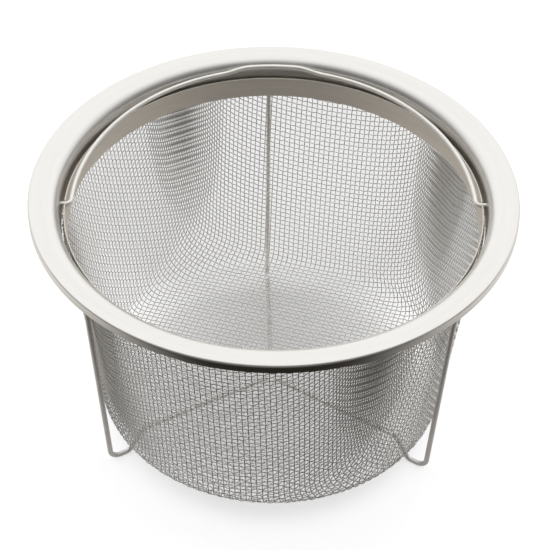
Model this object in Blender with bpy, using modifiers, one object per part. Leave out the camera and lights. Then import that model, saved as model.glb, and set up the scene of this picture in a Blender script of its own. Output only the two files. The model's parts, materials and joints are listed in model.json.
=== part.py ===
"""Woven-wire basket strainer: pressed rim, clamp band, drawn cup of wire cloth, three wire legs, wire bail.

Metres, +Z up. The origin is on the cup's axis, at the height of the surface that the three feet stand on.
Depths are measured down from the top of the rim, and wire positions are those of the wire's centre line.
"""

import math

import bmesh
import bpy
from mathutils import Matrix, Vector

# ---- Driving sizes ----------------------------------------------------------------------------

GAP = 0.0003                 # between pieces that touch on the real basket

# Pressed rim: a flat flange with a turned-down lip outside and a tapered collar inside.
RIM_RADIUS = 0.108
FLANGE_WIDTH = 0.0128        # from the rim's outside to the collar's inner face
RIM_SHEET = 0.0007
LIP_DROP = 0.0039
LIP_BEND = 0.0014            # outside radius of the bend
COLLAR_BEND = 0.0070         # radius of the bend, on the top face
COLLAR_DATUM = 0.0013        # depth at which the collar's cone has the radius that the flange's width gives it
COLLAR_DROP = 0.0140
COLLAR_TAPER = math.radians(4.93)

# Clamp band: holds the cloth's mouth against the collar.
BAND_SHEET = 0.0006
BAND_TOP_DEPTH = 0.0084
BAND_HEIGHT = 0.0100

# Drawn cup of wire cloth, as thick as two crossing wires.
CLOTH_THICKNESS = 0.0009
CLOTH_TUCK = 0.0004          # the cloth's edge stays this far below the band's edge
FLOOR_DEPTH = 0.1191         # to the underside of the floor
FLOOR_RADIUS = 0.0827        # where the wall's outside meets the floor's plane
FLOOR_CORNER = 0.0050        # outside radius
WALL_FLARE = 0.22            # share of the wall's taper that gathers towards its mouth

# Three legs of bent wire.
LEG_WIRE = 0.0024
LEG_ANGLES = {"back_leg": 91.0, "left_leg": 209.0, "right_leg": 327.0}  # welded by hand, not quite even
LEG_TOP_BELOW_COLLAR = 0.0004
LEG_LEAVES_WALL_DEPTH = 0.036
STANDING_HEIGHT = 0.0144     # from the floor's underside down to the feet's underside
FOOT_STANDOFF = 0.0044       # the foot's outer corner lies this far outside the floor's radius
FOOT_LENGTH = 0.0096
FOOT_RISE_RUN = 0.0075       # radial length of the foot's inner slope
FOOT_OUTER_BEND = 0.0050
FOOT_INNER_BEND = 0.0040
LEG_BAND_BEND = 0.0050       # where the leg turns in with the wall, below the band
LEG_SPLAY_BEND = 0.0200      # where it leaves the wall
LEG_CENTRE_RADIUS = 0.0022   # the three legs stop this far from the axis

# Bail handle of bent wire, hinged through the collar, the cloth and the band on the X axis.
BAIL_WIRE = 0.0021
PIVOT_DEPTH = 0.0094
PIVOT_CLEARANCE = 0.0003
BAIL_SIDE_CLEARANCE = 0.0012  # from the bail's wire to the band, beside the pivots
BAIL_EXTRA_REACH = 0.0023    # how much longer the hoop is front to back than half its width
BAIL_END_BEND = 0.0025
PIN_STICK_OUT = 0.0018       # how far the ends stand out of the collar
BAIL_REST_TILT = math.radians(3.8)
HUMP_HEIGHT = 0.0021
HUMP_HALF_CREST = 0.0110
HUMP_RAMP = 0.0130

# How finely round shapes are divided.
TURN_STEPS = 72
WALL_STEPS = 7
BEND_STEPS = 4
BAIL_STEPS = 76
BORE_SIDES = 24
WIRE_BEVEL = 2               # eight-sided wires
WIRE_SIDES = 2 * WIRE_BEVEL + 4

# ---- Sizes that follow from them --------------------------------------------------------------

RIM_TOP = FLOOR_DEPTH + STANDING_HEIGHT
COLLAR_RADIUS = RIM_RADIUS - FLANGE_WIDTH
BAND_LOW_DEPTH = BAND_TOP_DEPTH + BAND_HEIGHT
CLOTH_TOP_DEPTH = BAND_TOP_DEPTH + CLOTH_TUCK
PIVOT_HEIGHT = RIM_TOP - PIVOT_DEPTH
LEG_RADIUS = LEG_WIRE / 2
BAIL_RADIUS = BAIL_WIRE / 2
BORE_RADIUS = BAIL_RADIUS + PIVOT_CLEARANCE

STEEL = (0.60, 0.58, 0.55)
BRIGHT_STEEL = (0.80, 0.79, 0.76)
DARK_STEEL = (0.36, 0.35, 0.33)


def collar_inside(depth):
    """The collar's inner radius, and that of its cone carried on below it."""
    return COLLAR_RADIUS - math.tan(COLLAR_TAPER) * (depth - COLLAR_DATUM)


def cloth_outside(depth):
    """The cup's outer radius: against the collar's cone as far down as the band, then a flared wall."""
    if depth <= BAND_LOW_DEPTH:
        return collar_inside(depth) - GAP
    share = (FLOOR_DEPTH - depth) / (FLOOR_DEPTH - BAND_LOW_DEPTH)
    mouth = collar_inside(BAND_LOW_DEPTH) - GAP
    return FLOOR_RADIUS + (mouth - FLOOR_RADIUS) * share * (1 - WALL_FLARE * (1 - share))


def band_outside(depth):
    return cloth_outside(depth) - CLOTH_THICKNESS - GAP


def rounded_path(corners):
    """Points of a path whose corners, (across, up, radius), are turned with arcs of those radii."""
    spots = [Vector(corner[:2]) for corner in corners]
    points = [spots[0]]
    for before, spot, after, corner in zip(spots, spots[1:], spots[2:], corners[1:]):
        radius = corner[2]
        if not radius:
            points.append(spot)
            continue
        back = (before - spot).normalized()
        ahead = (after - spot).normalized()
        half = back.angle(ahead) / 2
        centre = spot + (back + ahead).normalized() * radius / math.sin(half)
        start = spot + back * radius / math.tan(half) - centre
        turn = start.angle_signed(spot + ahead * radius / math.tan(half) - centre)
        for step in range(BEND_STEPS + 1):
            points.append(centre + Matrix.Rotation(-turn * step / BEND_STEPS, 2) @ start)
    points.append(spots[-1])
    return points


# ---- Blender helpers --------------------------------------------------------------------------


def clear_scene():
    for thing in list(bpy.data.objects):
        bpy.data.objects.remove(thing, do_unlink=True)


def new_collection(name):
    collection = bpy.data.collections.new(name)
    bpy.context.scene.collection.children.link(collection)
    return collection


def steel(name, colour, roughness):
    material = bpy.data.materials.new(name)
    material.use_nodes = True
    shader = material.node_tree.nodes["Principled BSDF"]
    shader.inputs["Base Color"].default_value = (*colour, 1.0)
    shader.inputs["Metallic"].default_value = 1.0
    shader.inputs["Roughness"].default_value = roughness
    return material


def turned(name, outline, closed, collection, material):
    """A ring or cup turned about Z from points (radius, height) that run down its outer side."""
    mesh = bpy.data.meshes.new(name)
    edges = [(index, index + 1) for index in range(len(outline) - 1)]
    if closed:
        edges.append((len(outline) - 1, 0))
    mesh.from_pydata([(radius, 0, height) for radius, height in outline], edges, [])
    mesh.materials.append(material)
    thing = bpy.data.objects.new(name, mesh)
    collection.objects.link(thing)
    screw = thing.modifiers.new("turn", "SCREW")
    screw.axis = "Z"
    screw.steps = TURN_STEPS
    screw.render_steps = TURN_STEPS
    screw.use_merge_vertices = True
    screw.merge_threshold = 0.00001
    screw.use_smooth_shade = True
    return thing


def wire(name, points, diameter, tilt, collection, material):
    """A bent wire along points, with flat ends. The tilt turns its sides about the wire."""
    curve = bpy.data.curves.new(name, "CURVE")
    curve.dimensions = "3D"
    curve.bevel_depth = diameter / 2
    curve.bevel_resolution = WIRE_BEVEL
    curve.use_fill_caps = True
    spline = curve.splines.new("POLY")
    spline.points.add(len(points) - 1)
    for spot, point in zip(spline.points, points):
        spot.co = (*point, 1)
        spot.tilt = tilt
    curve.materials.append(material)
    thing = bpy.data.objects.new(name, curve)
    collection.objects.link(thing)
    return thing


def pivot_cutter(name, rise, collection):
    """A bar along X on the bail's pivots. Raising its upper half makes an open-topped slot of a bore."""
    mesh = bpy.data.meshes.new(name)
    shape = bmesh.new()
    bmesh.ops.create_cone(
        shape,
        cap_ends=True,
        segments=BORE_SIDES,
        radius1=BORE_RADIUS,
        radius2=BORE_RADIUS,
        depth=2 * RIM_RADIUS,
        matrix=Matrix.Rotation(math.pi / 2, 4, "Y"),
    )
    for vertex in shape.verts:
        if vertex.co.z > GAP / 10:
            vertex.co.z += rise
    shape.to_mesh(mesh)
    shape.free()
    cutter = bpy.data.objects.new(name, mesh)
    cutter.location.z = PIVOT_HEIGHT
    cutter.hide_render = True
    cutter.display_type = "WIRE"
    collection.objects.link(cutter)
    return cutter


def cut(thing, cutter):
    boolean = thing.modifiers.new(cutter.name, "BOOLEAN")
    boolean.operation = "DIFFERENCE"
    boolean.solver = "EXACT"
    boolean.object = cutter


# ---- The pieces -------------------------------------------------------------------------------


def make_rim_flange(collection, bore):
    """Collar, flange and lip, pressed from one sheet."""
    def skin(offset):
        """One face of the sheet, from the collar's edge out to the lip's edge, offset into the metal."""
        low = COLLAR_DROP
        return rounded_path([
            (collar_inside(low) + offset, RIM_TOP - low, 0),
            (collar_inside(offset) + offset, RIM_TOP - offset, COLLAR_BEND - offset),
            (RIM_RADIUS - offset, RIM_TOP - offset, LIP_BEND - offset),
            (RIM_RADIUS - offset, RIM_TOP - LIP_DROP, 0),
        ])

    outline = skin(0) + list(reversed(skin(RIM_SHEET)))
    rim = turned("rim_flange", outline, True, collection, steel("satin_rim", BRIGHT_STEEL, 0.35))
    cut(rim, bore)


def make_clamp_band(collection, slot):
    """A tapered strip inside the cloth's mouth, with an open slot for each end of the bail."""
    outline = []
    for depth, inset in (
        (BAND_LOW_DEPTH, BAND_SHEET),
        (BAND_TOP_DEPTH, BAND_SHEET),
        (BAND_TOP_DEPTH, 0),
        (BAND_LOW_DEPTH, 0),
    ):
        outline.append((band_outside(depth) - inset, RIM_TOP - depth))
    band = turned("clamp_band", outline, True, collection, steel("band_steel", STEEL, 0.42))
    cut(band, slot)


def make_mesh_basket(collection, slot):
    """The cup as a closed shell with the cloth's thickness, open at its mouth."""
    wall_height = FLOOR_DEPTH - 2 * FLOOR_CORNER - BAND_LOW_DEPTH

    def skin(offset):
        """Points from the cup's mouth down to the floor's centre, offset into the cloth."""
        corners = [(cloth_outside(CLOTH_TOP_DEPTH) - offset, RIM_TOP - CLOTH_TOP_DEPTH, 0)]
        for step in range(WALL_STEPS):
            depth = BAND_LOW_DEPTH + wall_height * step / (WALL_STEPS - 1)
            corners.append((cloth_outside(depth) - offset, RIM_TOP - depth, 0))
        floor = RIM_TOP - FLOOR_DEPTH + offset
        corners.append((cloth_outside(FLOOR_DEPTH) - offset, floor, FLOOR_CORNER - offset))
        corners.append((0, floor, 0))
        return rounded_path(corners)

    outline = list(reversed(skin(CLOTH_THICKNESS))) + skin(0)
    cup = turned("mesh_basket", outline, False, collection, steel("wire_cloth", STEEL, 0.4))
    cut(cup, slot)


def beside_cloth(depth):
    """The radius of a leg's centre line where it touches the wall, whatever the wall's slope there."""
    slope = math.atan2(cloth_outside(depth) - cloth_outside(depth + LEG_WIRE), LEG_WIRE)
    return cloth_outside(depth) + (GAP + LEG_RADIUS) / math.cos(slope)


def make_leg(name, degrees, collection, material):
    """One wire: down the outside of the wall, round the foot and in under the floor to the axis."""
    top = COLLAR_DROP + LEG_TOP_BELOW_COLLAR
    foot = FLOOR_RADIUS + FOOT_STANDOFF
    # The sides' flats face down, so the wire reaches a little less far than its radius.
    foot_height = LEG_RADIUS * math.cos(math.pi / WIRE_SIDES)
    under_floor = STANDING_HEIGHT - GAP - LEG_RADIUS
    path = rounded_path([
        (beside_cloth(top), RIM_TOP - top, 0),
        (beside_cloth(BAND_LOW_DEPTH), RIM_TOP - BAND_LOW_DEPTH, LEG_BAND_BEND),
        (beside_cloth(LEG_LEAVES_WALL_DEPTH), RIM_TOP - LEG_LEAVES_WALL_DEPTH, LEG_SPLAY_BEND),
        (foot, foot_height, FOOT_OUTER_BEND),
        (foot - FOOT_LENGTH, foot_height, FOOT_INNER_BEND),
        (foot - FOOT_LENGTH - FOOT_RISE_RUN, under_floor, FOOT_INNER_BEND),
        (LEG_CENTRE_RADIUS, under_floor, 0),
    ])
    points = [(point.x, 0, point.y) for point in path]
    leg = wire(name, points, LEG_WIRE, math.pi / WIRE_SIDES, collection, material)
    leg.rotation_euler.z = math.radians(degrees)


def bail_half(width, reach):
    """The hoop's right half, from its pin's end to the middle, as (across, out, up) in the hoop's plane."""
    pin_end = collar_inside(PIVOT_DEPTH) + RIM_SHEET + PIN_STICK_OUT
    start = math.asin(1.2 * BAIL_END_BEND / reach)
    bend = rounded_path([
        (pin_end, 0, 0),
        (width, 0, BAIL_END_BEND),
        (width * math.cos(start), reach * math.sin(start), 0),
    ])
    points = [(point.x, point.y, 0) for point in bend]
    for step in range(1, BAIL_STEPS // 2 + 1):
        angle = start + (math.pi / 2 - start) * step / (BAIL_STEPS // 2)
        across = width * math.cos(angle)
        climb = min(max((HUMP_HALF_CREST + HUMP_RAMP - across) / HUMP_RAMP, 0), 1)
        up = HUMP_HEIGHT * climb * climb * (3 - 2 * climb)
        points.append((across, reach * math.sin(angle), up))
    return points


def make_bail_handle(collection, material):
    """A folding hoop with its origin on the pivots' axis. At rest it lies back inside the rim."""
    width = band_outside(PIVOT_DEPTH) - BAND_SHEET - BAIL_SIDE_CLEARANCE - BAIL_RADIUS
    half = bail_half(width, width + BAIL_EXTRA_REACH)
    other_half = [(-across, out, up) for across, out, up in reversed(half[:-1])]
    bail = wire("bail_handle", half + other_half, BAIL_WIRE, 0, collection, material)
    bail.location.z = PIVOT_HEIGHT
    bail.rotation_euler.x = BAIL_REST_TILT


def main():
    clear_scene()
    basket = new_collection("basket_strainer")
    cutters = new_collection("cutters")
    bore = pivot_cutter("pivot_bore", 0, cutters)
    slot = pivot_cutter("pivot_slot", PIVOT_DEPTH, cutters)
    make_rim_flange(basket, bore)
    make_clamp_band(basket, slot)
    make_mesh_basket(basket, slot)
    leg_steel = steel("leg_wire", DARK_STEEL, 0.4)
    for name, degrees in LEG_ANGLES.items():
        make_leg(name, degrees, basket, leg_steel)
    make_bail_handle(basket, steel("bail_wire", BRIGHT_STEEL, 0.25))


main()
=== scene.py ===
"""Finished woven-wire basket strainer and its studio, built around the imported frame.

Metres, +Z up. The origin is on the cup's axis, at the height of the surface that the three feet stand on.
The cloth is laid on the cup as a net of hinged links, which is how a flat cloth goes when it is drawn.
"""

import json
import math

import bmesh
import bpy
import numpy as np
from bpy.props import FloatProperty, FloatVectorProperty, IntProperty, PointerProperty
from mathutils import Matrix, Vector


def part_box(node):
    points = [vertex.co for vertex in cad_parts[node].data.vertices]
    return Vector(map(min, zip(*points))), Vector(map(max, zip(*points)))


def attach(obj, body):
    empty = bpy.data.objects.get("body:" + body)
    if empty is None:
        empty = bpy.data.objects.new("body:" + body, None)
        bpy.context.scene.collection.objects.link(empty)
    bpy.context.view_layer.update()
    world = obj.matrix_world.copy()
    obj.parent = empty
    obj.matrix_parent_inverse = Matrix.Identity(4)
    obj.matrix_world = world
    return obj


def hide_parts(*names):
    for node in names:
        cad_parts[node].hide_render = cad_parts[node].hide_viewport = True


bl_info = {
    "name": "Wire basket strainer",
    "version": (1, 0, 0),
    "blender": (4, 5, 0),
    "location": "3D View > Sidebar > Strainer",
    "description": "Makes the pieces of a woven-wire basket strainer and a plain studio for it",
    "category": "Add Mesh",
}

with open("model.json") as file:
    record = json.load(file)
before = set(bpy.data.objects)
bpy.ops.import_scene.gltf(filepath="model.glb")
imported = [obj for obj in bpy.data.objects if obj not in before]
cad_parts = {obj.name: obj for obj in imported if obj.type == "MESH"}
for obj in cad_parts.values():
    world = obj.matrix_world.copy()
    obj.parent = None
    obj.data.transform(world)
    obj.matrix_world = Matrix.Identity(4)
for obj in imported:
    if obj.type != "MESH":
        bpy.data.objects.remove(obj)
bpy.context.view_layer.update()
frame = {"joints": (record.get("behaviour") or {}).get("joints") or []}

# ---- Places that come from the frame ----------------------------------------------------------

RIM_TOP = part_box("rim_flange")[1].z
RIM_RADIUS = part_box("rim_flange")[1].x
BAND_BASE, BAND_TOP = (corner.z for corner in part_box("clamp_band"))
FLOOR_Z, CLOTH_TOP = (corner.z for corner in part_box("mesh_basket"))
LEG_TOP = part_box("back_leg")[1].z
PIN_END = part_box("bail_handle")[1].x
PIVOT_Z = frame["joints"][0]["pos_m"][2]

# ---- Sizes of the pieces ----------------------------------------------------------------------

GAP = 0.0003                 # between pieces that touch on the real basket

FLANGE_WIDTH = 0.0128
COLLAR_BEND = 0.0070         # radius of the bend, on the top face
COLLAR_DATUM = 0.0013        # depth at which the collar's cone has the radius COLLAR_RADIUS
COLLAR_DROP = 0.0140
COLLAR_TAPER = math.radians(4.93)
COLLAR_RADIUS = RIM_RADIUS - FLANGE_WIDTH
COLLAR_BASE = RIM_TOP - COLLAR_DROP
RIM_BEND_STEPS = 14

BAND_SHEET = 0.0006
BAND_EASE = 0.3              # width of the bevel on the band's edges, as a share of its sheet

CUP_THICKNESS = 0.0009
CLOTH_TRIM = 0.0030          # the cut wires end this far below the cloth's top
FLOOR_RADIUS = 0.0827        # where the wall's outside meets the floor's plane
FLOOR_CORNER = 0.0050        # outside radius
WALL_FLARE = 0.22            # share of the wall's taper that gathers towards its mouth

LEG_ANGLES = {"back_leg": 91.0, "left_leg": 209.0, "right_leg": 327.0}  # not quite even
LEG_LEAVES_WALL_DEPTH = 0.036
LEG_BAND_BEND = 0.0050       # where the leg turns in with the wall, below the band
LEG_SPLAY_BEND = 0.0200      # where it leaves the wall
LEG_CENTRE_RADIUS = 0.0022   # the three legs stop this far from the axis
LEG_BEND_STEPS = 10
FOOT_STANDOFF = 0.0044       # the foot's outer corner lies this far outside the floor's radius
FOOT_LENGTH = 0.0096
FOOT_RISE_RUN = 0.0075       # radial length of the foot's inner slope
FOOT_OUTER_BEND = 0.0050
FOOT_INNER_BEND = 0.0040

BAIL_WIRE = 0.0021
BAIL_SIDE_CLEARANCE = 0.0012  # from the bail's wire to the band, beside the pivots
BAIL_EXTRA_REACH = 0.0023    # how much longer the hoop is front to back than half its width
BAIL_END_BEND = 0.0025
BAIL_END_STEPS = 8
BAIL_HOOP_STEPS = 90         # from a pivot to the middle of the hoop
BAIL_REST_TILT = math.radians(3.8)
HUMP_HALF_CREST = 0.0110     # of the finger hump, across the hoop
HUMP_RAMP = 0.0130
PIVOT_CLEARANCE = 0.0003     # round the bail's ends in the rim's holes
BORE_RADIUS = BAIL_WIRE / 2 + PIVOT_CLEARANCE
BORE_SIDES = 40

BENT_WIRE_SIDES = 20         # of the legs' and the bail's wire
SHEET_EDGE = math.radians(34)  # edges of the sheet pieces that turn more than this stay sharp
WIRE_EDGE = math.radians(50)  # and those of the bent wires

# ---- How the cloth is worked out --------------------------------------------------------------

CUP_REACH = 0.16             # height over which the cup's surface is worked out, past its mouth
CUP_STEPS = 900
CORNER_STEPS = 40
SLOPE_STEPS = 20             # of CUP_STEPS, over which the wall's slope at its foot is taken
JOIN = 0.0001                # the wall starts this far above the corner's last point
SPARE_WIRES = 3              # laid past the cloth's edge, before it is cut
SPARE_HEIGHT = 0.006         # wires are followed this far above the edge before they are cut

HINGE_ROUNDS = 40            # in which a crossing finds its place
HINGE_PACE = 0.9             # share of a link's error that a round takes away
SHUT = 0.25                  # least width of a cell that isn't shut, as a share of the pitch
STRETCHED = 1.98             # its greatest width
MISSED = 0.15                # how far off the pitch a link may end, as a share of it
SETTLE_PACE = 1.3            # the same, when the whole net settles

CROSSING_GAP = 0.000005      # half the gap between two wires that cross
CLOTH_PIECES = 3             # pieces for the wires of each direction
SHORTEST_WIRE = 4            # fewest points of a piece of wire that is kept
TINY = 1e-9                  # keeps a division by a length from failing

# ---- The studio -------------------------------------------------------------------------------

CAMERA_TURN = math.radians(-1.0)        # about the basket's axis
CAMERA_ELEVATION = 0.70241
CAMERA_DISTANCE = 0.72265               # from the middle of the rim's top
CAMERA_PITCH = 0.755146
CAMERA_YAW = 0.001882
CAMERA_ROLL = 0.016845

FLOOR_HALF_WIDTH = 12.0
FLAG_DEPTH = 0.001
FLAG_FADE = 0.30                        # depth over which the flag goes from near to far
FLAG_FADE_START = 0.45                  # share of the fade that lies in front of the axis
FLAG_SPREAD = 0.6                       # how far forward the far tone comes for each metre to a side
SHADE_SETBACK = 0.160                   # how far behind the axis the middle of the painted shadow on the floor lies
SHADE_BEHIND = [(0.42, 0.55), (0.64, 1.0)]  # the floor's glow, by distance in rim diameters from that middle: a painted shadow behind the cup
SHADE_UNDER = [(0.38, 0.45), (0.66, 0.72), (0.80, 1.0)]  # the floor's glow, by distance in rim radii from the axis: painted shade under the cup
SKY_LEAN = math.radians(44)             # the soft light's middle lies this far behind the zenith
# The soft light's tones, by the cosine of the angle from its middle.
SKY_TONES = [(0.0, 0.16), (0.22, 0.26), (0.44, 0.92), (0.62, 1.18), (0.87, 1.24), (0.95, 1.18)]
KEY_SIZE = 0.7
KEY_PLACE = Vector((0.0, 0.05, 1.3))
KEY_AIM = Vector((0, 0, 0.07))


def collar_inside(height):
    """The collar's inner radius, and that of its cone carried on below it."""
    return COLLAR_RADIUS - math.tan(COLLAR_TAPER) * (RIM_TOP - height - COLLAR_DATUM)


def cup_outside(height):
    """The cup's outer radius: inside the collar's cone as far down as the band goes, then a flared wall."""
    mouth = collar_inside(BAND_BASE) - GAP
    climbed = (height - FLOOR_Z) / (BAND_BASE - FLOOR_Z)
    wall = FLOOR_RADIUS + (mouth - FLOOR_RADIUS) * climbed * (1 - WALL_FLARE * (1 - climbed))
    return np.where(climbed >= 1, collar_inside(height) - GAP, wall)


def band_outside(height):
    """The clamp band's outer radius, inside the cloth."""
    return collar_inside(height) - 2 * GAP - CUP_THICKNESS


def rounded_path(corners, steps):
    """Points of a path whose corners, (across, up, radius), are turned with arcs of those radii."""
    spots = [Vector(corner[:2]) for corner in corners]
    points = [spots[0]]
    for before, spot, after, corner in zip(spots, spots[1:], spots[2:], corners[1:]):
        radius = corner[2]
        if not radius:
            points.append(spot)
            continue
        back = (before - spot).normalized()
        ahead = (after - spot).normalized()
        half = back.angle(ahead) / 2
        centre = spot + (back + ahead).normalized() * radius / math.sin(half)
        start = spot + back * radius / math.tan(half) - centre
        turn = start.angle_signed(spot + ahead * radius / math.tan(half) - centre)
        for step in range(steps + 1):
            points.append(centre + Matrix.Rotation(-turn * step / steps, 2) @ start)
    points.append(spots[-1])
    return points


# ---- Sizes and colours that a user may change --------------------------------------------------


def length(name, default, description):
    return FloatProperty(name=name, default=default, description=description, unit="LENGTH", precision=5)


def colour(name, default, description):
    return FloatVectorProperty(
        name=name, default=default, description=description, subtype="COLOR", size=3, min=0, max=1
    )


def share(name, default, description):
    return FloatProperty(name=name, default=default, description=description, subtype="FACTOR", min=0, max=1)


class RimSettings(bpy.types.PropertyGroup):
    sheet: length("Sheet", 0.0007, "Thickness of the rim's sheet")
    lip_drop: length("Lip drop", 0.0039, "Height of the turned-down lip")
    lip_bend: length("Lip bend", 0.0014, "Outside radius of the lip's bend")
    turns: IntProperty(name="Facets", default=256, min=32, description="Facets round the rim")
    steel: colour("Steel", (0.80, 0.785, 0.755), "Colour of the satin steel")
    # Painted shade: a darker steel for the collar and the lip, which stands in for the dark they reflect.
    shaded_side_steel: colour("Side steel", (0.62, 0.60, 0.57), "Colour of the collar and the lip, not brushed")
    roughness: share("Roughness", 0.34, "How dull the satin finish is")


class BandSettings(bpy.types.PropertyGroup):
    sheet: length("Sheet", BAND_SHEET, "Thickness of the clamp band")
    turns: IntProperty(name="Facets", default=256, min=32, description="Facets round the band")
    steel: colour("Steel", (0.86, 0.81, 0.74), "Colour of the band")
    roughness: share("Roughness", 0.58, "How dull the band is")


class ClothSettings(bpy.types.PropertyGroup):
    pitch: length("Pitch", 0.00254, "Distance between neighbouring wires in the flat cloth")
    wire: length("Wire", 0.00045, "Diameter of the cloth's wire")
    sides: IntProperty(name="Sides", default=6, min=3, description="Sides of each wire")
    crest: share("Crest", 0.2, "Share of a cell, either side of a crossing, where a wire stays on top")
    least_shear: share("Tightest shear", 0.54, "Least width of a sheared cell, in pitches")
    easy_shear: share("Easy shear", 0.90, "Width of a sheared cell, in pitches, below which it resists")
    stiffness: share("Stiffness", 0.06, "How much a sheared cell resists before it is tightest")
    least_link: share("Tightest link", 0.80, "Least length of a cell's side, in pitches")
    rounds: IntProperty(name="Rounds", default=420, min=0, description="Rounds in which the cloth settles")
    lay: FloatProperty(
        name="Lay",
        default=math.radians(73),
        subtype="ANGLE",
        description="Direction of the cloth's first wires",
    )
    steel: colour("Steel", (0.80, 0.79, 0.775), "Colour of the wires' rubbed crests")
    dull: colour("Dull steel", (0.48, 0.47, 0.455), "Colour of the wires between the crests")
    roughness: share("Roughness", 0.36, "How dull the wires are")


class LegSettings(bpy.types.PropertyGroup):
    wire: length("Wire", 0.0024, "Diameter of the legs' wire")
    steel: colour("Steel", (0.88, 0.87, 0.85), "Colour of the legs")
    roughness: share("Roughness", 0.44, "How dull the legs are")


class BailSettings(bpy.types.PropertyGroup):
    wire: length("Wire", BAIL_WIRE, "Diameter of the bail's wire")
    hump: length("Hump", 0.0021, "How far the finger hump stands out of the hoop's plane")
    steel: colour("Steel", (0.95, 0.93, 0.89), "Colour of the bail")
    roughness: share("Roughness", 0.60, "How dull the bail is")


class StudioSettings(bpy.types.PropertyGroup):
    floor: colour("Floor", (0.50, 0.50, 0.50), "Colour of the floor")
    near_flag: colour("Near flag", (0.02, 0.017, 0.013), "What the metal reflects from below, in front")
    far_flag: colour("Far flag", (0.92, 0.89, 0.85), "What the metal reflects from below, behind")
    glow: FloatProperty(
        name="Floor glow", default=0.70, min=0, description="How much the pale floor is lit from below"
    )
    sky: FloatProperty(
        name="Sky", default=0.975, min=0, description="Strength of the soft light all round"
    )
    key: FloatProperty(
        name="Key light", default=2.0, min=0, description="Power of the soft light above", unit="POWER"
    )
    lens: FloatProperty(name="Lens", default=107.24, min=10, description="Focal length in millimetres")


# ---- Node trees -------------------------------------------------------------------------------


class Signal:
    """What comes out of a node. Sums and products with it add Math nodes."""

    def __init__(self, wiring, socket):
        self.wiring = wiring
        self.socket = socket

    def output(self, name):
        """Another output of the same node."""
        return Signal(self.wiring, self.socket.node.outputs[name])

    def math(self, operation, *values):
        return self.wiring.node("ShaderNodeMath", {"operation": operation}, dict(enumerate(values)))

    def __add__(self, other):
        return self.math("ADD", self, other)

    def __radd__(self, other):
        return self.math("ADD", other, self)

    def __sub__(self, other):
        return self.math("SUBTRACT", self, other)

    def __rsub__(self, other):
        return self.math("SUBTRACT", other, self)

    def __mul__(self, other):
        return self.math("MULTIPLY", self, other)

    def __rmul__(self, other):
        return self.math("MULTIPLY", other, self)

    def __truediv__(self, other):
        return self.math("DIVIDE", self, other)

    def __rtruediv__(self, other):
        return self.math("DIVIDE", other, self)

    def __pow__(self, other):
        return self.math("POWER", self, other)

    def __abs__(self):
        return self.math("ABSOLUTE", self)


class Wiring:
    """A node tree that is being wired up: one method makes every node."""

    def __init__(self, tree):
        self.tree = tree

    def node(self, kind, settings=None, sockets=None, out=0):
        """Adds a node, sets its settings and then its sockets, and gives its output as a signal."""
        made = self.tree.nodes.new(kind)
        for name, value in (settings or {}).items():
            if name == "stops":
                self.set_stops(made.color_ramp, value)
            else:
                setattr(made, name, value)
        for name, value in (sockets or {}).items():
            self.put(made.inputs[name], value)
        return Signal(self, made.outputs[out]) if len(made.outputs) else None

    def set_stops(self, ramp, stops):
        """Gives a ramp its grey stops, as places and tones."""
        while len(ramp.elements) < len(stops):
            ramp.elements.new(0.5)
        for element, (place, tone) in zip(ramp.elements, stops):
            element.position = place
            element.color = (tone, tone, tone, 1)

    def put(self, socket, value):
        """Links a signal to a socket, or sets the socket's own value."""
        if isinstance(value, Signal):
            self.tree.links.new(value.socket, socket)
        else:
            socket.default_value = value

    def ramp(self, signal, stops):
        return self.node("ShaderNodeValToRGB", {"stops": stops}, {0: signal})


class Finish(Wiring):
    """A material under construction, such as a metal finish."""

    def __init__(self, name, colour, roughness, metallic=1.0):
        self.material = bpy.data.materials.new(name)
        self.material.use_nodes = True
        super().__init__(self.material.node_tree)
        self.shader = self.tree.nodes["Principled BSDF"]
        self.shader.inputs["Metallic"].default_value = metallic
        self.shader.inputs["Roughness"].default_value = roughness
        self.shader.inputs["Base Color"].default_value = (*colour, 1)

    def place(self):
        """The place on the piece, and signals for its three coordinates."""
        spot = self.node("ShaderNodeTexCoord", out="Object")
        split = self.node("ShaderNodeSeparateXYZ", {}, {0: spot})
        return spot, [split.output(axis) for axis in "XYZ"]

    def along(self, name):
        """The number that the piece's mesh keeps under a name."""
        return self.node("ShaderNodeAttribute", {"attribute_name": name}, out="Fac")

    def vector(self, x, y, z):
        return self.node("ShaderNodeCombineXYZ", {}, {0: x, 1: y, 2: z})

    def noise(self, spot, scale, detail, roughness):
        return self.node("ShaderNodeTexNoise", {}, {
            "Vector": spot,
            "Scale": scale,
            "Detail": detail,
            "Roughness": roughness,
        })

    def mix(self, mask, first, second):
        """A colour that goes from the first to the second as the mask goes from 0 to 1.

        The Mix node's sockets 6 and 7, and its output 2, are those for colours.
        """
        first, second = (tone if isinstance(tone, Signal) else (*tone[:3], 1) for tone in (first, second))
        return self.node("ShaderNodeMix", {"data_type": "RGBA"}, {0: mask, 6: first, 7: second}, out=2)

    def bump(self, height, strength, distance):
        """A bump that feeds the shader's normal."""
        sockets = {"Strength": strength, "Distance": distance, "Height": height}
        self.put(self.shader.inputs["Normal"], self.node("ShaderNodeBump", {}, sockets))

    def dress(self, **sockets):
        """Feeds the shader's sockets, named with _ for a space, and gives the material."""
        for name, value in sockets.items():
            self.put(self.shader.inputs[name.replace("_", " ")], value)
        return self.material


# ---- Finishes ---------------------------------------------------------------------------------


def scaled(tone, factor):
    return tuple(min(channel * factor, 1.0) for channel in tone)


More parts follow.
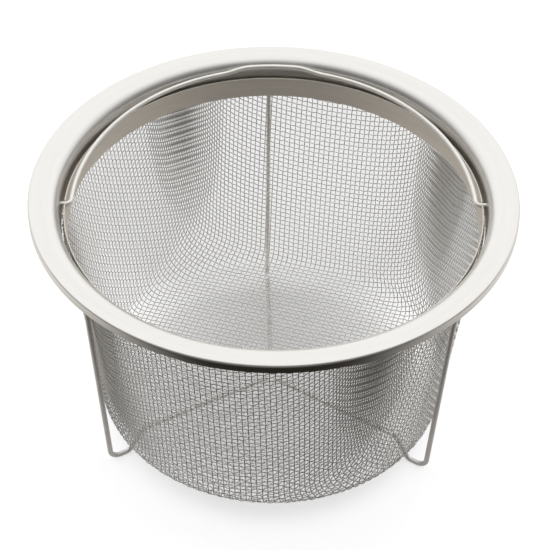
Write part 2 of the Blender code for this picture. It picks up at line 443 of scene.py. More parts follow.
def turned_finish(name, steel, roughness, depth, sides=None):
    """Sheet steel that was brushed while it turned: fine rings, broad faint bands and a few dull patches.

    The depth is how much darker the dull patches are. Where sides is given, it is the colour of the faces
    that turn down from the rim's top, the collar and the lip: a darker copy of the steel, painted shade for
    the dark that they reflect.
    """
    finish = Finish(name, steel, roughness)
    spot, (x, y, z) = finish.place()
    radius = (x * x + y * y) ** 0.5
    round_x, round_y = x / radius, y / radius
    run = radius + z
    fine_ring = finish.vector(round_x * 7, round_y * 7, run * 3400)
    broad_ring = finish.vector(round_x * 1.6, round_y * 1.6, run * 420)
    grain = finish.noise(fine_ring, scale=1.0, detail=3.0, roughness=0.65)
    bands = finish.noise(broad_ring, scale=1.0, detail=2.0, roughness=0.5)
    patches = finish.noise(spot, scale=55.0, detail=3.0, roughness=0.6)
    tone = finish.ramp(grain * 0.55 + bands * 0.30 + patches * 0.15, [(0.30, 0.0), (0.72, 1.0)])
    base = finish.mix(tone, scaled(steel, 1 - depth), scaled(steel, 1 + depth * 0.4))
    gloss = grain * 0.16 + patches * 0.10 + (roughness - 0.13)
    # Painted shade: the faces below the rim's top, the collar and the lip, get the darker sides colour.
    if sides:
        depth_in_bends = (RIM_TOP - z) * (1 / COLLAR_BEND)
        side = finish.ramp(depth_in_bends, [(0.45, 0.0), (0.95, 1.0)])
        base = finish.mix(side, base, finish.mix(tone, scaled(sides, 0.8), scaled(sides, 1.1)))
        gloss = gloss + side * 0.04
    finish.bump(grain, strength=0.25, distance=0.00002)
    return finish.dress(Base_Color=base, Roughness=gloss)


def drawn_wire_finish(name, steel, roughness, depth):
    """Drawn wire: a tone that wanders along it, fine specks, and duller patches where it was handled."""
    finish = Finish(name, steel, roughness)
    spot, _ = finish.place()
    length_along = finish.vector(finish.along("run") * 90, 0.0, 0.0)
    lines = finish.noise(length_along, scale=1.0, detail=3.0, roughness=0.6)
    specks = finish.noise(spot, scale=900.0, detail=2.0, roughness=0.6)
    patches = finish.noise(spot, scale=130.0, detail=3.0, roughness=0.6)
    tone = finish.ramp(lines * 0.35 + specks * 0.30 + patches * 0.35, [(0.32, 0.0), (0.70, 1.0)])
    base = finish.mix(tone, scaled(steel, 1 - depth), scaled(steel, 1 + depth * 0.5))
    finish.bump(specks, strength=0.15, distance=0.00003)
    return finish.dress(Base_Color=base, Roughness=patches * 0.22 + (roughness - 0.11))


def cloth_finish(settings):
    """Woven wire: crests rubbed bright, the runs between them dull, and cloudy tarnish over the whole cup."""
    finish = Finish("cloth_wire", settings.steel, settings.roughness)
    spot, _ = finish.place()
    crest = abs(finish.along("crest"))
    clouds = finish.noise(spot, scale=42.0, detail=3.0, roughness=0.6)
    specks = finish.noise(spot, scale=1500.0, detail=1.0, roughness=0.5)
    rubbed = finish.ramp(crest * 0.62 + clouds * 0.26 + specks * 0.12, [(0.18, 0.0), (0.80, 1.0)])
    base = finish.mix(rubbed, settings.dull, settings.steel)
    finish.bump(specks, strength=0.12, distance=0.00002)
    return finish.dress(Base_Color=base, Roughness=clouds * 0.16 + (settings.roughness - 0.08))


# ---- Mesh helpers -----------------------------------------------------------------------------


def keep_piece(thing, body, material_slot, *nodes):
    """Puts a finished piece on its body, in place of its CAD nodes."""
    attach(thing, body)
    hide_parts(*nodes)


def link_mesh(name, mesh, material):
    """Puts a mesh in the scene as an object with one material."""
    mesh.materials.clear()
    mesh.materials.append(material)
    thing = bpy.data.objects.new(name, mesh)
    bpy.context.scene.collection.objects.link(thing)
    return thing


def turned_ring(name, outline, turns, material):
    """A closed outline of (radius, height) turned about Z into a ring with its faces outwards."""
    mesh = bpy.data.meshes.new(name)
    count = len(outline)
    angles = np.arange(turns) * 2 * math.pi / turns
    radius, height = (np.array([point[axis] for point in outline]) for axis in (0, 1))
    points = np.stack([
        np.outer(np.cos(angles), radius),
        np.outer(np.sin(angles), radius),
        np.tile(height, (turns, 1)),
    ], -1).reshape(-1, 3)
    step, spot = np.meshgrid(np.arange(turns), np.arange(count), indexing="ij")
    after, ahead = (step + 1) % turns, (spot + 1) % count
    corners = [step * count + spot, after * count + spot, after * count + ahead, step * count + ahead]
    mesh.from_pydata(points.tolist(), [], np.stack(corners, -1).reshape(-1, 4).tolist())
    shape = bmesh.new()
    shape.from_mesh(mesh)
    bmesh.ops.recalc_face_normals(shape, faces=shape.faces)
    shape.to_mesh(mesh)
    shape.free()
    return link_mesh(name, mesh, material)


def pivot_cutter(rise):
    """A bar along X on the bail's pivots. Raising its upper half makes an open-topped slot of a bore."""
    mesh = bpy.data.meshes.new("pivot_cutter")
    shape = bmesh.new()
    bmesh.ops.create_cone(
        shape,
        cap_ends=True,
        segments=BORE_SIDES,
        radius1=BORE_RADIUS,
        radius2=BORE_RADIUS,
        depth=2.2 * RIM_RADIUS,
        matrix=Matrix.Translation((0, 0, PIVOT_Z)) @ Matrix.Rotation(math.pi / 2, 4, "Y"),
    )
    for vertex in shape.verts:
        if vertex.co.z > PIVOT_Z + GAP / 10:
            vertex.co.z += rise
    shape.to_mesh(mesh)
    shape.free()
    cutter = bpy.data.objects.new("pivot_cutter", mesh)
    bpy.context.scene.collection.objects.link(cutter)
    return cutter


def bake_modifiers(thing):
    """Applies a sheet piece's modifiers and smooths it except across sharp edges."""
    made = thing.evaluated_get(bpy.context.evaluated_depsgraph_get())
    mesh = bpy.data.meshes.new_from_object(made)
    thing.modifiers.clear()
    old = thing.data
    thing.data = mesh
    bpy.data.meshes.remove(old)
    mesh.name = thing.name
    mesh.shade_smooth()
    mesh.set_sharp_from_angle(angle=SHEET_EDGE)


def cut_pivots(thing, rise):
    """Cuts the bail's two holes, or slots, through a ring."""
    cutter = pivot_cutter(rise)
    boolean = thing.modifiers.new("pivots", "BOOLEAN")
    boolean.operation = "DIFFERENCE"
    boolean.solver = "EXACT"
    boolean.object = cutter
    bake_modifiers(thing)
    mesh = cutter.data
    bpy.data.objects.remove(cutter)
    bpy.data.meshes.remove(mesh)


# ---- Wires along paths ------------------------------------------------------------------------


def wire_tree():
    """A node tree that makes round wires along a mesh's edges, and keeps on them how far along they are."""
    tree = bpy.data.node_groups.new("bent_wire", "GeometryNodeTree")
    face = tree.interface
    face.new_socket("Paths", in_out="INPUT", socket_type="NodeSocketGeometry")
    face.new_socket("Wire", in_out="INPUT", socket_type="NodeSocketFloat").subtype = "DISTANCE"
    face.new_socket("Sides", in_out="INPUT", socket_type="NodeSocketInt")
    face.new_socket("Finish", in_out="INPUT", socket_type="NodeSocketMaterial")
    face.new_socket("Wires", in_out="OUTPUT", socket_type="NodeSocketGeometry")
    wiring = Wiring(tree)
    given = wiring.node("NodeGroupInput")
    paths = wiring.node("GeometryNodeMeshToCurve", {}, {"Mesh": given.output("Paths")})
    marked = wiring.node("GeometryNodeStoreNamedAttribute", {"data_type": "FLOAT", "domain": "POINT"}, {
        "Geometry": paths,
        "Name": "run",
        "Value": wiring.node("GeometryNodeSplineParameter", out="Length"),
    })
    section = wiring.node("GeometryNodeCurvePrimitiveCircle", {}, {
        "Resolution": given.output("Sides"),
        "Radius": given.output("Wire") * 0.5,
    })
    tubes = wiring.node("GeometryNodeCurveToMesh", {}, {
        "Curve": marked,
        "Profile Curve": section,
        "Fill Caps": True,
    })
    real = wiring.node("GeometryNodeRealizeInstances", {}, {"Geometry": tubes})
    dressed = wiring.node("GeometryNodeSetMaterial", {}, {
        "Geometry": real,
        "Material": given.output("Finish"),
    })
    wiring.node("NodeGroupOutput", {}, {"Wires": dressed})
    return tree


def route_mesh(name, paths, marks):
    """A mesh of edges along paths of points. Marks are a number for each point, kept as "crest"."""
    counts = [len(path) for path in paths]
    points = np.concatenate([np.asarray(path, dtype=float) for path in paths])
    starts = np.concatenate([[0], np.cumsum(counts)[:-1]])
    edges = np.concatenate([
        np.stack([np.arange(start, start + count - 1), np.arange(start + 1, start + count)], -1)
        for start, count in zip(starts, counts)
    ])
    route = bpy.data.meshes.new(name + "_route")
    route.from_pydata(points.tolist(), edges.tolist(), [])
    if marks is not None:
        crest = route.attributes.new("crest", "FLOAT", "POINT")
        crest.data.foreach_set("value", np.concatenate(marks).astype(np.float32))
    return route


def turn_outwards(mesh):
    """Turns a closed mesh's faces round if they point inwards."""
    shape = bmesh.new()
    shape.from_mesh(mesh)
    if shape.calc_volume(signed=True) < 0:
        bmesh.ops.reverse_faces(shape, faces=shape.faces)
        shape.to_mesh(mesh)
    shape.free()


def make_wires(name, paths, wire, sides, material, marks=None):
    """One piece of round wires along paths."""
    route = route_mesh(name, paths, marks)
    guide = bpy.data.objects.new(name + "_route", route)
    bpy.context.scene.collection.objects.link(guide)
    tree = bpy.data.node_groups.get("bent_wire") or wire_tree()
    modifier = guide.modifiers.new("wires", "NODES")
    modifier.node_group = tree
    keys = {item.name: item.identifier for item in tree.interface.items_tree if item.in_out == "INPUT"}
    modifier[keys["Wire"]] = wire
    modifier[keys["Sides"]] = sides
    modifier[keys["Finish"]] = material
    made = guide.evaluated_get(bpy.context.evaluated_depsgraph_get())
    mesh = bpy.data.meshes.new_from_object(made)
    if not mesh.polygons:
        raise RuntimeError(f"no wires were made for {name}")
    guide.modifiers.clear()
    bpy.data.objects.remove(guide)
    bpy.data.meshes.remove(route)
    turn_outwards(mesh)
    mesh.name = name
    mesh.shade_smooth()
    if sides == BENT_WIRE_SIDES:
        mesh.set_sharp_from_angle(angle=WIRE_EDGE)
    return link_mesh(name, mesh, material)


# ---- The drawn cloth --------------------------------------------------------------------------


class CupSurface:
    """The middle of the cloth, a surface turned about Z. A run is the way along it from its centre."""

    def __init__(self, inset):
        floor = FLOOR_Z + inset
        heights = np.linspace(floor, floor + CUP_REACH, CUP_STEPS)
        radii = cup_outside(heights) - inset
        corner = FLOOR_CORNER - inset
        slope = math.atan2(heights[SLOPE_STEPS] - heights[0], radii[SLOPE_STEPS] - radii[0])
        centre = radii[0] - corner / math.tan((math.pi - slope) / 2)
        turn = np.linspace(-math.pi / 2, slope - math.pi / 2, CORNER_STEPS)
        above = heights > floor + corner * (1 + math.sin(turn[-1])) + JOIN
        rise = floor + corner * (1 + np.sin(turn[1:]))
        self.radii = np.concatenate([[0, centre], centre + corner * np.cos(turn[1:]), radii[above]])
        self.heights = np.concatenate([[floor, floor], rise, heights[above]])
        steps = np.hypot(np.diff(self.radii), np.diff(self.heights))
        self.runs = np.concatenate([[0], np.cumsum(steps)])
        self.middles = (self.runs[1:] + self.runs[:-1]) / 2
        self.out = np.diff(self.radii) / steps
        self.up = np.diff(self.heights) / steps

    def radius(self, run):
        return np.interp(run, self.runs, self.radii)

    def height(self, run):
        return np.interp(run, self.runs, self.heights)

    def run_up_to(self, height):
        """The run to a height on the wall."""
        return np.interp(height, self.heights[1:], self.runs[1:])

    def point(self, run, angle):
        radius = self.radius(run)
        return np.stack([radius * np.cos(angle), radius * np.sin(angle), self.height(run)], -1)

    def slopes(self, run):
        """How far out and up the surface goes for a step along it."""
        return np.interp(run, self.middles, self.out), np.interp(run, self.middles, self.up)

    def settle(self, points, run, rounds=2):
        """Moves points onto the surface, and gives them with their new runs."""
        radius = np.hypot(points[..., 0], points[..., 1])
        for _ in range(rounds):
            out, up = self.slopes(run)
            ahead = (radius - self.radius(run)) * out
            ahead += (points[..., 2] - self.height(run)) * up
            run = np.clip(run + ahead, 0, self.runs[-1])
        grow = self.radius(run) / np.maximum(radius, TINY)
        return np.stack([points[..., 0] * grow, points[..., 1] * grow, self.height(run)], -1), run

    def outward(self, points, run):
        """The unit vectors that point out of the cup."""
        out, up = self.slopes(run)
        angle = np.arctan2(points[..., 1], points[..., 0])
        return np.stack([up * np.cos(angle), up * np.sin(angle), -out], -1)


def diagonal(total, count, least):
    """The places in a quarter of the net whose two numbers, none under the least, add up to a total."""
    i = np.arange(max(least, total - count), min(count, total - least) + 1)
    return i, total - i


def hinge_net(cup, pitch, count):
    """A quarter of the cloth's crossings, each a pitch from two neighbours, laid from two straight wires.

    Crossings that can't be reached, because the cells before them have shut, are left as not-a-number.
    """
    net = np.full((count + 1, count + 1, 3), np.nan)
    runs = np.zeros((count + 1, count + 1))
    along = np.arange(count + 1) * pitch
    net[:, 0] = cup.point(along, np.zeros(count + 1))
    net[0, :] = cup.point(along, np.full(count + 1, math.pi / 2))
    runs[:, 0] = along
    runs[0, :] = along
    for total in range(2, 2 * count + 1):
        i, j = diagonal(total, count, 1)
        first, second, corner = net[i - 1, j], net[i, j - 1], net[i - 1, j - 1]
        whole = np.isfinite(first[:, 0]) & np.isfinite(second[:, 0]) & np.isfinite(corner[:, 0])
        i, j, first, second, corner = i[whole], j[whole], first[whole], second[whole], corner[whole]
        if not len(i):
            continue
        spot = first + second - corner
        run = runs[i - 1, j] + runs[i, j - 1] - runs[i - 1, j - 1]
        for _ in range(HINGE_ROUNDS):
            spot, run = cup.settle(spot, run)
            for other in (first, second):
                link = spot - other
                size = np.linalg.norm(link, axis=-1, keepdims=True)
                spot = spot + HINGE_PACE * (pitch - size) * link / np.maximum(size, TINY)
        spot, run = cup.settle(spot, run)
        across = np.linalg.norm(first - second, axis=-1)
        off = np.abs(np.linalg.norm(spot - first, axis=-1) - pitch)
        spot[(across < SHUT * pitch) | (across > STRETCHED * pitch) | (off > MISSED * pitch)] = np.nan
        net[i, j] = spot
        runs[i, j] = run
    return net, runs


def bridge_net(cup, net, runs, count):
    """Fills the shut wedge about the diagonal: crossings go evenly from one of its sides to the other."""
    whole = np.isfinite(net[..., 0])
    for total in range(2, 2 * count + 1):
        i, j = diagonal(total, count, 0)
        good = whole[i, j]
        middle = len(i) // 2
        low = 0
        while low < len(i) and good[low] and low <= middle:
            low += 1
        high = len(i) - 1
        while high >= 0 and good[high] and high >= middle:
            high -= 1
        if low > high:
            continue
        if low == 0 or high == len(i) - 1:
            net[i, j] = np.nan
            continue
        first, last = low - 1, high + 1
        parts = np.arange(1, last - first) / (last - first)
        ends = net[i[first], j[first]], net[i[last], j[last]]
        angles = [math.atan2(end[1], end[0]) for end in ends]
        run = runs[i[first], j[first]] + (runs[i[last], j[last]] - runs[i[first], j[first]]) * parts
        net[i[low:high + 1], j[low:high + 1]] = cup.point(run, angles[0] + (angles[1] - angles[0]) * parts)
        runs[i[low:high + 1], j[low:high + 1]] = run


def relax_net(cup, net, runs, settings):
    """Lets the links push and pull until the bridged wedge is as wide as its tightest cells need.

    A link is kept between its least and its full length, and a cell gets no narrower, round the cup, than
    the least shear lets it. The quarter is kept alike on both sides of its diagonal.
    """
    here = np.isfinite(net[..., 0])
    net = np.where(here[..., None], net, 0.0)
    pitch = settings.pitch
    every, front, back = slice(None), slice(0, -1), slice(1, None)
    links = (
        ((front, every), (back, every), settings.least_link * pitch, pitch),
        ((every, front), (every, back), settings.least_link * pitch, pitch),
    )
    low, high = (back, front), (front, back)
    open_cell = (here[low] & here[high])[..., None]
    fixed = net.copy()
    for _ in range(settings.rounds):
        push = np.zeros_like(net)
        pushes = np.zeros(net.shape[:2] + (1,))
        for one, other, least, most in links:
            link = net[other] - net[one]
            size = np.linalg.norm(link, axis=-1, keepdims=True)
            wrong = np.where(size < least, size - least, np.where(size > most, size - most, 0))
            wrong = wrong / np.maximum(size, TINY) * (here[one] & here[other])[..., None]
            push[one] += 0.5 * wrong * link
            push[other] -= 0.5 * wrong * link
            pushes[one] += wrong != 0
            pushes[other] += wrong != 0
        middle = net[low] + net[high]
        around = np.stack([-middle[..., 1], middle[..., 0], np.zeros_like(middle[..., 0])], -1)
        around /= np.maximum(np.linalg.norm(around, axis=-1, keepdims=True), TINY)
        width = ((net[high] - net[low]) * around).sum(-1, keepdims=True)
        wrong = np.minimum(width - settings.least_shear * pitch, 0)
        wrong = (wrong + settings.stiffness * np.minimum(width - settings.easy_shear * pitch, 0)) * open_cell
        push[low] += 0.5 * wrong * around
        push[high] -= 0.5 * wrong * around
        pushes[low] += wrong != 0
        pushes[high] += wrong != 0
        net, runs = cup.settle(net + SETTLE_PACE * push / np.maximum(pushes, 1), runs, 1)
        net[0, :] = fixed[0, :]
        net[:, 0] = fixed[:, 0]
        net = (net + net.transpose(1, 0, 2)[..., [1, 0, 2]]) / 2
        runs = (runs + runs.T) / 2
    net[~here] = np.nan
    return net, runs


def whole_net(net, runs, count):
    """Mirrors the quarter into the whole cloth."""
    index = np.arange(-count, count + 1)
    i, j = np.meshgrid(index, index, indexing="ij")
    points = net[np.abs(i), np.abs(j)]
    points = points * np.stack([np.where(i < 0, -1, 1), np.where(j < 0, -1, 1), np.ones_like(i)], -1)
    return points, runs[np.abs(i), np.abs(j)]


def clip_path(path, marks, turn):
    """Cuts a wire off at the cloth's edge and round the bail's two slots, and gives what is left of it."""
    spots = np.stack([
        path[:, 0] * math.cos(turn) - path[:, 1] * math.sin(turn),
        path[:, 0] * math.sin(turn) + path[:, 1] * math.cos(turn),
        path[:, 2],
    ], -1)
    beside = np.abs(spots[:, 1]) - BORE_RADIUS - GAP
    below = PIVOT_Z - BORE_RADIUS - GAP - spots[:, 2]
    near_pivots = np.abs(spots[:, 0]) > 0.8 * COLLAR_RADIUS
    off_slots = np.where(near_pivots, np.maximum(beside, below), 1.0)
    room = np.minimum(off_slots, CLOTH_TOP - CLOTH_TRIM - spots[:, 2])
    pieces = []
    current, tags = [], []
    for index in range(len(spots)):
        if index and (room[index] > 0) != (room[index - 1] > 0):
            part = room[index - 1] / (room[index - 1] - room[index])
            current.append(spots[index - 1] * (1 - part) + spots[index] * part)
            tags.append(marks[index])
        if room[index] > 0:
            current.append(spots[index])
            tags.append(marks[index])
        elif current:
            pieces.append((np.array(current), np.array(tags)))
            current, tags = [], []
    if current:
        pieces.append((np.array(current), np.array(tags)))
    return [piece for piece in pieces if len(piece[0]) >= SHORTEST_WIRE]


def wire_paths(points, outward, sign, settings):
    """Paths of all the wires that run one way, each lying over and under the wires that cross it."""
    height = settings.wire / 2 + CROSSING_GAP
    paths = []
    for row, out, side in zip(points, outward, sign):
        good = np.isfinite(row[:, 0])
        low = good & (row[:, 2] < CLOTH_TOP + SPARE_HEIGHT)
        if not low.any():
            continue
        first, last = np.flatnonzero(low)[[0, -1]]
        row, out, side = row[first:last + 1], out[first:last + 1], side[first:last + 1]
        if len(row) < 3 or not np.isfinite(row).all():
            raise RuntimeError("a wire of the cloth has a break in it")
        crest = row + out * (side * height)[:, None]
        before = crest + settings.crest * (np.roll(row, 1, 0) - row)
        after = crest + settings.crest * (np.roll(row, -1, 0) - row)
        both = np.stack([before, after], 1).reshape(-1, 3)[1:-1]
        marks = np.repeat(side, 2)[1:-1]
        paths += clip_path(both, marks, settings.lay)
    return paths


def even_groups(paths, count):
    """Splits paths, in order, into groups with about as many points each."""
    sizes = np.cumsum([len(path[0]) for path in paths])
    marks = np.minimum((sizes - 1) * count // sizes[-1], count - 1)
    return [[path for path, mark in zip(paths, marks) if mark == group] for group in range(count)]


# ---- Operators --------------------------------------------------------------------------------


class MakeRim(bpy.types.Operator):
    """Makes the pressed rim: collar, flange and turned-down lip"""

    bl_idname = "strainer.make_rim"
    bl_label = "Rim"

    def execute(self, context):
        sizes = context.scene.strainer_rim

        def skin(offset):
            return rounded_path([
                (collar_inside(COLLAR_BASE) + offset, COLLAR_BASE, 0),
                (collar_inside(RIM_TOP - offset) + offset, RIM_TOP - offset, COLLAR_BEND - offset),
                (RIM_RADIUS - offset, RIM_TOP - offset, sizes.lip_bend - offset),
                (RIM_RADIUS - offset, RIM_TOP - sizes.lip_drop, 0),
            ], RIM_BEND_STEPS)

        # The rim's collar and lip get the darker sides colour as painted shade.
        satin = turned_finish(
            "satin_rim", sizes.steel, sizes.roughness, depth=0.07, sides=sizes.shaded_side_steel
        )
        outline = skin(0) + list(reversed(skin(sizes.sheet)))
        rim = turned_ring("pressed_rim", outline, sizes.turns, satin)
        cut_pivots(rim, 0)
        keep_piece(rim, "basket", "satin_rim", "rim_flange")
        return {"FINISHED"}


class MakeBand(bpy.types.Operator):
    """Makes the clamp band inside the cloth's mouth"""

    bl_idname = "strainer.make_band"
    bl_label = "Clamp band"

    def execute(self, context):
        sizes = context.scene.strainer_band
        ease = sizes.sheet * BAND_EASE
        outline = []
        for height, inset in (
            (BAND_BASE, sizes.sheet - ease),
            (BAND_BASE + ease, sizes.sheet),
            (BAND_TOP - ease, sizes.sheet),
            (BAND_TOP, sizes.sheet - ease),
            (BAND_TOP, ease),
            (BAND_TOP - ease, 0),
            (BAND_BASE + ease, 0),
            (BAND_BASE, ease),
        ):
            outline.append((band_outside(height) - inset, height))
        steel = turned_finish("band_steel", sizes.steel, sizes.roughness, depth=0.14)
        band = turned_ring("band_strip", outline, sizes.turns, steel)
        cut_pivots(band, RIM_TOP - PIVOT_Z)
        keep_piece(band, "basket", "band_steel", "clamp_band")
        return {"FINISHED"}


class MakeCloth(bpy.types.Operator):
    """Weaves the cup's wire cloth, drawn from one flat round"""

    bl_idname = "strainer.make_cloth"
    bl_label = "Wire cloth"

    def execute(self, context):
        settings = context.scene.strainer_cloth
        cup = CupSurface(CUP_THICKNESS / 2)
        count = math.ceil(cup.run_up_to(CLOTH_TOP) / settings.pitch) + SPARE_WIRES
        net, runs = hinge_net(cup, settings.pitch, count)
        bridge_net(cup, net, runs, count)
        net, runs = relax_net(cup, net, runs, settings)
        points, runs = whole_net(net, runs, count)
        outward = cup.outward(np.nan_to_num(points), runs)
        index = np.arange(-count, count + 1)
        over = np.where((index[:, None] + index[None, :]) % 2 == 0, 1.0, -1.0)
        steel = cloth_finish(settings)
        for name, order, sign in (("lengthways", (0, 1, 2), over), ("crossways", (1, 0, 2), -over)):
            paths = wire_paths(points.transpose(order), outward.transpose(order), sign, settings)
            for number, group in enumerate(even_groups(paths, CLOTH_PIECES), 1):
                wires = make_wires(
                    f"cloth_{name}_{number}",
                    [path for path, _ in group],
                    settings.wire,
                    settings.sides,
                    steel,
                    [marks for _, marks in group],
                )
                keep_piece(wires, "basket", "wire_cloth", "mesh_basket")
        return {"FINISHED"}


class MakeLegs(bpy.types.Operator):
    """Bends the three legs, each from one wire"""

    bl_idname = "strainer.make_legs"
    bl_label = "Legs"

    def execute(self, context):
        sizes = context.scene.strainer_legs
        half = sizes.wire / 2
        under_floor = FLOOR_Z - GAP - half
        leaves_wall = RIM_TOP - LEG_LEAVES_WALL_DEPTH
        foot = FLOOR_RADIUS + FOOT_STANDOFF

        def beside_cloth(height):
            slope = math.atan2(float(cup_outside(height) - cup_outside(height - sizes.wire)), sizes.wire)
            return float(cup_outside(height)) + (GAP + half) / math.cos(slope)

        path = rounded_path([
            (beside_cloth(LEG_TOP), LEG_TOP, 0),
            (beside_cloth(BAND_BASE), BAND_BASE, LEG_BAND_BEND),
            (beside_cloth(leaves_wall), leaves_wall, LEG_SPLAY_BEND),
            (foot, half, FOOT_OUTER_BEND),
            (foot - FOOT_LENGTH, half, FOOT_INNER_BEND),
            (foot - FOOT_LENGTH - FOOT_RISE_RUN, under_floor, FOOT_INNER_BEND),
            (LEG_CENTRE_RADIUS, under_floor, 0),
        ], LEG_BEND_STEPS)
        steel = drawn_wire_finish("leg_wire", sizes.steel, sizes.roughness, depth=0.20)
        for name, degrees in LEG_ANGLES.items():
            turn = math.radians(degrees)
            points = [(point.x * math.cos(turn), point.x * math.sin(turn), point.y) for point in path]
            leg = make_wires(name + "_wire", [points], sizes.wire, BENT_WIRE_SIDES, steel)
            keep_piece(leg, "basket", "leg_wire", name)
        return {"FINISHED"}


class MakeBail(bpy.types.Operator):
    """Bends the bail: hoop, finger hump and the two ends that hinge in the collar"""

    bl_idname = "strainer.make_bail"
    bl_label = "Bail"

    def execute(self, context):
        sizes = context.scene.strainer_bail
        width = band_outside(PIVOT_Z) - BAND_SHEET - BAIL_SIDE_CLEARANCE - sizes.wire / 2
        reach = width + BAIL_EXTRA_REACH
        start = math.asin(1.2 * BAIL_END_BEND / reach)
        flat = rounded_path([
            (PIN_END, 0, 0),
            (width, 0, BAIL_END_BEND),
            (width * math.cos(start), reach * math.sin(start), 0),
        ], BAIL_END_STEPS)
        half = [(point.x, point.y, 0.0) for point in flat]
        for angle in np.linspace(start, math.pi / 2, BAIL_HOOP_STEPS + 1)[1:]:
            across = width * math.cos(angle)
            climb = min(max((HUMP_HALF_CREST + HUMP_RAMP - across) / HUMP_RAMP, 0), 1)
            half.append((across, reach * math.sin(angle), sizes.hump * climb * climb * (3 - 2 * climb)))
        hoop = half + [(-across, out, up) for across, out, up in reversed(half[:-1])]
        stand = Matrix.Translation((0, 0, PIVOT_Z)) @ Matrix.Rotation(BAIL_REST_TILT, 4, "X")
        path = [tuple(stand @ Vector(point)) for point in hoop]
        steel = drawn_wire_finish("bail_wire", sizes.steel, sizes.roughness, depth=0.10)
        bail = make_wires("bail_hoop", [path], sizes.wire, BENT_WIRE_SIDES, steel)
        keep_piece(bail, "bail", "bail_wire", "bail_handle")
        return {"FINISHED"}


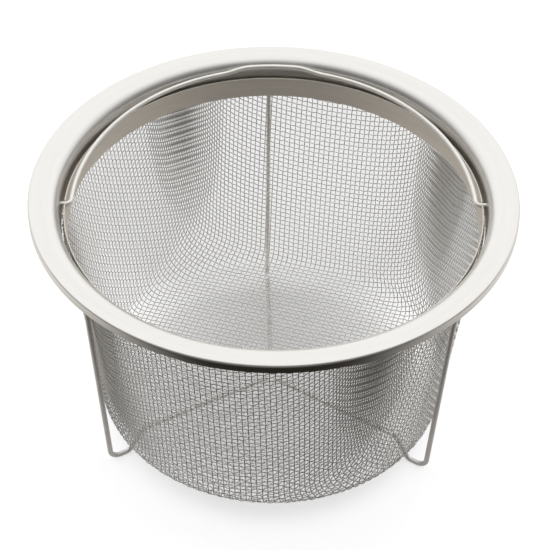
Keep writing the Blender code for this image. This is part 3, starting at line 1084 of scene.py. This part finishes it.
class MakeStudio(bpy.types.Operator):
    """Makes the pale floor, the soft lights and the camera"""

    bl_idname = "strainer.make_studio"
    bl_label = "Studio"

    def execute(self, context):
        settings = context.scene.strainer_studio
        self.make_floor(settings)
        self.make_flag(settings)
        self.make_sky(context, settings)
        self.make_key_light(settings)
        self.make_camera(context, settings)
        return {"FINISHED"}

    def make_floor(self, settings):
        """The pale floor that the camera sees, with shade under the cup and a shadow behind it painted into
        its glow.
        """
        pale = Finish("pale_floor", settings.floor, 0.9, 0.0)
        _, (x, y, _) = pale.place()
        # Painted shade: the floor's glow is dimmed under the cup and in a disc behind it, standing in for the
        # basket's shadow.
        under = pale.ramp((x * x + y * y) ** 0.5 * (1 / RIM_RADIUS), SHADE_UNDER)
        back = y - SHADE_SETBACK
        behind = pale.ramp((x * x + back * back) ** 0.5 * (0.5 / RIM_RADIUS), SHADE_BEHIND)
        pale.dress(Emission_Color=under * behind, Emission_Strength=settings.glow, Specular_IOR_Level=0.0)
        floor = self.make_plane("floor", 0.0, pale.material)
        floor.visible_glossy = False

    def make_flag(self, settings):
        """A floor just under the pale one that only reflections see: dark in front and light behind."""
        flag = Finish("dark_flag", settings.near_flag, 0.9, 0.0)
        _, (x, y, _) = flag.place()
        fade = (y + abs(x) * FLAG_SPREAD) * (1 / FLAG_FADE) + FLAG_FADE_START
        behind = flag.ramp(fade, [(0.0, 0.0), (1.0, 1.0)])
        tone = flag.mix(behind, settings.near_flag, settings.far_flag)
        flag.dress(
            Base_Color=(0, 0, 0, 1),
            Emission_Color=tone,
            Emission_Strength=1.0,
            Specular_IOR_Level=0.0,
        )
        plane = self.make_plane("flag", -FLAG_DEPTH, flag.material)
        plane.visible_camera = False
        plane.visible_diffuse = False
        plane.visible_shadow = False

    def make_plane(self, name, height, material):
        mesh = bpy.data.meshes.new(name)
        size = FLOOR_HALF_WIDTH
        corners = [(-size, -size, height), (size, -size, height), (size, size, height), (-size, size, height)]
        mesh.from_pydata(corners, [], [(0, 1, 2, 3)])
        plane = link_mesh(name, mesh, material)
        return plane

    def make_sky(self, context, settings):
        """Soft light all round, brightest high up behind the basket."""
        world = bpy.data.worlds.new("studio")
        world.use_nodes = True
        context.scene.world = world
        sky = Wiring(world.node_tree)
        way = sky.node("ShaderNodeTexCoord", out="Generated")
        middle = (0, math.sin(SKY_LEAN), math.cos(SKY_LEAN))
        near_middle = sky.node(
            "ShaderNodeVectorMath", {"operation": "DOT_PRODUCT"}, {0: way, 1: middle}, out="Value"
        )
        background = world.node_tree.nodes["Background"]
        background.inputs["Strength"].default_value = settings.sky
        sky.put(background.inputs["Color"], sky.ramp(near_middle, SKY_TONES))

    def make_key_light(self, settings):
        """A soft light above, which casts the basket's shade but isn't reflected."""
        light = bpy.data.lights.new("key_light", "AREA")
        light.energy = settings.key
        light.size = KEY_SIZE
        lamp = bpy.data.objects.new("key_light", light)
        lamp.location = KEY_PLACE
        lamp.visible_glossy = False
        lamp.rotation_mode = "QUATERNION"
        lamp.rotation_quaternion = (KEY_AIM - KEY_PLACE).to_track_quat("-Z", "Y")
        bpy.context.scene.collection.objects.link(lamp)

    def make_camera(self, context, settings):
        data = bpy.data.cameras.new("camera")
        data.sensor_width = 36.0
        data.lens = settings.lens
        data.clip_start = 0.01
        data.clip_end = 50.0
        data.dof.use_dof = False
        ahead = Vector((
            math.sin(CAMERA_YAW) * math.cos(CAMERA_PITCH),
            math.cos(CAMERA_YAW) * math.cos(CAMERA_PITCH),
            -math.sin(CAMERA_PITCH),
        ))
        right = ahead.cross(Vector((0, 0, 1))).normalized()
        up = right.cross(ahead)
        rolled_right = right * math.cos(CAMERA_ROLL) + up * math.sin(CAMERA_ROLL)
        rolled_up = up * math.cos(CAMERA_ROLL) - right * math.sin(CAMERA_ROLL)
        axes = Matrix((rolled_right, rolled_up, -ahead)).transposed().to_4x4()
        stand = Vector((0, -math.cos(CAMERA_ELEVATION), math.sin(CAMERA_ELEVATION))) * CAMERA_DISTANCE
        stand.z += RIM_TOP
        camera = bpy.data.objects.new("camera", data)
        camera.matrix_world = Matrix.Rotation(CAMERA_TURN, 4, "Z") @ Matrix.Translation(stand) @ axes
        context.scene.collection.objects.link(camera)
        context.scene.camera = camera
        context.scene.view_settings.view_transform = "Standard"


class StrainerPanel(bpy.types.Panel):
    """Lists the steps that make the strainer"""

    bl_idname = "VIEW3D_PT_strainer"
    bl_label = "Strainer"
    bl_space_type = "VIEW_3D"
    bl_region_type = "UI"
    bl_category = "Strainer"

    def draw(self, context):
        for step in STEPS:
            self.layout.operator(step.bl_idname)
        for name in GROUPS:
            box = self.layout.box()
            settings = getattr(context.scene, name)
            for key in settings.__annotations__:
                box.prop(settings, key)


GROUPS = {
    "strainer_rim": RimSettings,
    "strainer_band": BandSettings,
    "strainer_cloth": ClothSettings,
    "strainer_legs": LegSettings,
    "strainer_bail": BailSettings,
    "strainer_studio": StudioSettings,
}
STEPS = (MakeRim, MakeBand, MakeCloth, MakeLegs, MakeBail, MakeStudio)
CLASSES = (*GROUPS.values(), *STEPS, StrainerPanel)


def register():
    for kind in CLASSES:
        bpy.utils.register_class(kind)
    for name, group in GROUPS.items():
        setattr(bpy.types.Scene, name, PointerProperty(type=group))


def unregister():
    for name in GROUPS:
        delattr(bpy.types.Scene, name)
    for kind in reversed(CLASSES):
        bpy.utils.unregister_class(kind)


def main():
    register()
    bpy.ops.strainer.make_rim()
    bpy.ops.strainer.make_band()
    bpy.ops.strainer.make_cloth()
    bpy.ops.strainer.make_legs()
    bpy.ops.strainer.make_bail()
    bpy.ops.strainer.make_studio()


if __name__ == "__main__":
    main()
